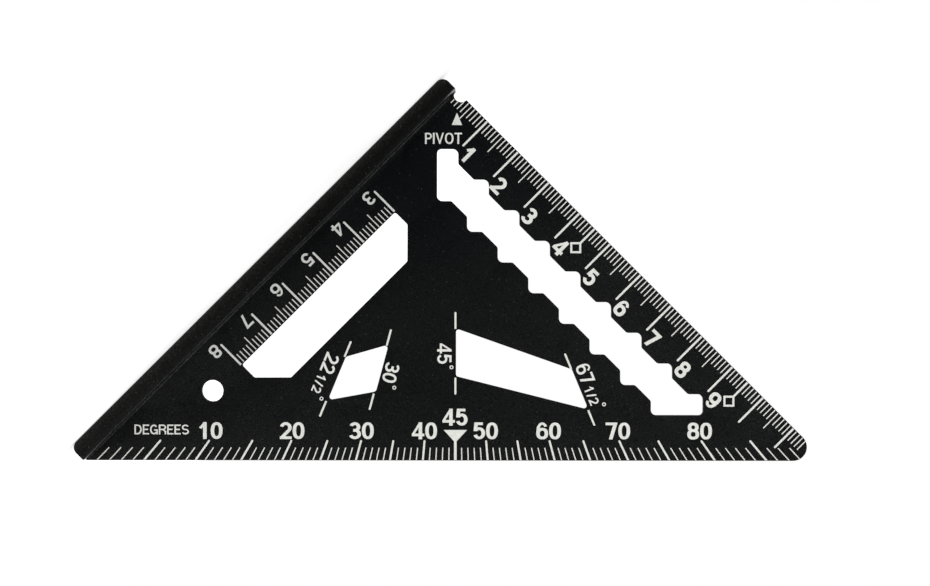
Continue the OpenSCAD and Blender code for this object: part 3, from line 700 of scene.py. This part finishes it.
class SQUARE_OT_build_stage(bpy.types.Operator):
    """Builds the pale floor, the even light, the lamps and the camera"""

    bl_idname = "square.build_stage"
    bl_label = "Build the Stage"

    def execute(self, context):
        stage = context.scene.square_stage
        self.light_world(context, stage)
        self.lay_floor(context, stage)
        self.hang_lamps(context, stage)
        self.set_camera(context, stage)
        return {"FINISHED"}

    def light_world(self, context, stage):
        """Lights the part evenly all round, in front of a plain white background."""
        world = bpy.data.worlds.new("even_light")
        context.scene.world = world
        world.use_nodes = True
        tree = world.node_tree
        tree.nodes.clear()
        seen = seen_directly(tree)
        plain = add_node(tree, "ShaderNodeBackground", Color=WHITE,
                         Strength=stage.world_strength)
        white = add_node(tree, "ShaderNodeBackground", Color=WHITE, Strength=1)
        mix = add_node(tree, "ShaderNodeMixShader")
        tree.links.new(seen, mix.inputs[0])
        tree.links.new(plain.outputs[0], mix.inputs[1])
        tree.links.new(white.outputs[0], mix.inputs[2])
        output = add_node(tree, "ShaderNodeOutputWorld")
        tree.links.new(mix.outputs[0], output.inputs["Surface"])

    def lay_floor(self, context, stage):
        """Lays a matt floor that looks nearly white and keeps the part's shadow."""
        half = stage.floor_size / 2
        mesh = bpy.data.meshes.new("floor")
        mesh.from_pydata([(-half, -half, 0), (half, -half, 0), (half, half, 0), (-half, half, 0)],
                         [], [(0, 1, 2, 3)])
        floor = bpy.data.objects.new("floor", mesh)
        context.scene.collection.objects.link(floor)
        floor.location.z = CAD_BOX[0].z - FLOOR_GAP
        material, tree, output, place = new_material("pale_floor")
        matt = add_node(tree, "ShaderNodeBsdfDiffuse", Color=(*stage.floor_colour, 1))
        glow = add_node(tree, "ShaderNodeEmission", Color=WHITE)
        away = distance_from(tree, place, (0, 0, 0))
        level = map_range(tree, away, (GLOW_START, stage.near_reach),
                          (stage.near_glow, stage.far_glow))
        seen_level = calculate(tree, "MULTIPLY", seen_directly(tree), level)
        tree.links.new(seen_level, glow.inputs["Strength"])
        both = add_node(tree, "ShaderNodeAddShader")
        tree.links.new(matt.outputs[0], both.inputs[0])
        tree.links.new(glow.outputs[0], both.inputs[1])
        tree.links.new(both.outputs[0], output.inputs["Surface"])
        mesh.materials.append(material)

    def hang_lamps(self, context, stage):
        """Hangs three round lamps, each at an offset from the part's middle and facing it."""
        middle = (CAD_BOX[0] + CAD_BOX[1]) / 2
        lamps = (
            ("key_lamp", Vector((0.5, -0.95, 0.14)), 0.6, stage.key_power),
            ("fill_lamp", Vector((-0.6, -0.85, 0.08)), 0.6, stage.fill_power),
            ("back_lamp", Vector((0.1, 0.8, 0.7)), 0.7, stage.back_power),
        )
        for name, offset, size, power in lamps:
            light = bpy.data.lights.new(name, "AREA")
            light.shape = "DISK"
            light.size = size
            light.energy = power
            lamp = bpy.data.objects.new(name, light)
            lamp.location = middle + offset
            lamp.rotation_mode = "QUATERNION"
            lamp.rotation_quaternion = (-offset).to_track_quat("-Z", "Y")
            context.scene.collection.objects.link(lamp)

    def set_camera(self, context, stage):
        """Sets the camera square to the printed face, with the blade's long edge level."""
        data = bpy.data.cameras.new("camera")
        data.type = "PERSP"
        data.sensor_width = SENSOR_WIDTH
        data.lens = SENSOR_WIDTH * stage.camera_distance / stage.view_width
        data.clip_start = NEAREST
        data.clip_end = FARTHEST
        camera = bpy.data.objects.new("camera", data)
        context.scene.collection.objects.link(camera)
        aim = Vector((stage.aim_along, PRINTED_FACE, stage.aim_up))
        # Right and up in the picture, where the fence slopes at 45 degrees, and the way back
        slope = math.sqrt(0.5)
        right = Vector((-slope, 0, slope))
        up = Vector((-slope, 0, -slope))
        back = Vector((0, -1, 0))
        turn = (Matrix((right, up, back)).transposed()
                @ Matrix.Rotation(stage.camera_roll, 3, "Z"))
        camera.matrix_world = (Matrix.Translation(aim + back * stage.camera_distance)
                               @ turn.to_4x4())
        context.scene.camera = camera


class SQUARE_PT_panel(bpy.types.Panel):
    """Lists the settings and the steps that make the rafter square"""

    bl_idname = "SQUARE_PT_panel"
    bl_label = "Rafter Square"
    bl_space_type = "VIEW_3D"
    bl_region_type = "UI"
    bl_category = "Rafter Square"

    def draw(self, context):
        layout = self.layout
        for settings in (context.scene.square_coat, context.scene.square_print,
                         context.scene.square_stage):
            box = layout.box()
            for name in settings.__annotations__:
                box.prop(settings, name)
        for step in STEPS:
            layout.operator(step.bl_idname)


STEPS = (SQUARE_OT_coat_blade, SQUARE_OT_coat_fence, SQUARE_OT_lay_beads,
         SQUARE_OT_finish_pins, SQUARE_OT_print_marks, SQUARE_OT_build_stage)
GROUPS = (("square_coat", CoatSettings), ("square_print", PrintSettings),
          ("square_stage", StageSettings))


def register():
    for name, group in GROUPS:
        bpy.utils.register_class(group)
        setattr(bpy.types.Scene, name, PointerProperty(type=group))
    for step in STEPS:
        bpy.utils.register_class(step)
    bpy.utils.register_class(SQUARE_PT_panel)


def unregister():
    bpy.utils.unregister_class(SQUARE_PT_panel)
    for step in reversed(STEPS):
        bpy.utils.unregister_class(step)
    for name, group in reversed(GROUPS):
        delattr(bpy.types.Scene, name)
        bpy.utils.unregister_class(group)


def main():
    register()
    bpy.context.scene.view_settings.view_transform = "Standard"
    bpy.ops.square.coat_blade()
    bpy.ops.square.coat_fence()
    bpy.ops.square.lay_beads()
    bpy.ops.square.finish_pins()
    bpy.ops.square.print_marks()
    bpy.ops.square.build_stage()


if __name__ == "__main__":
    main()
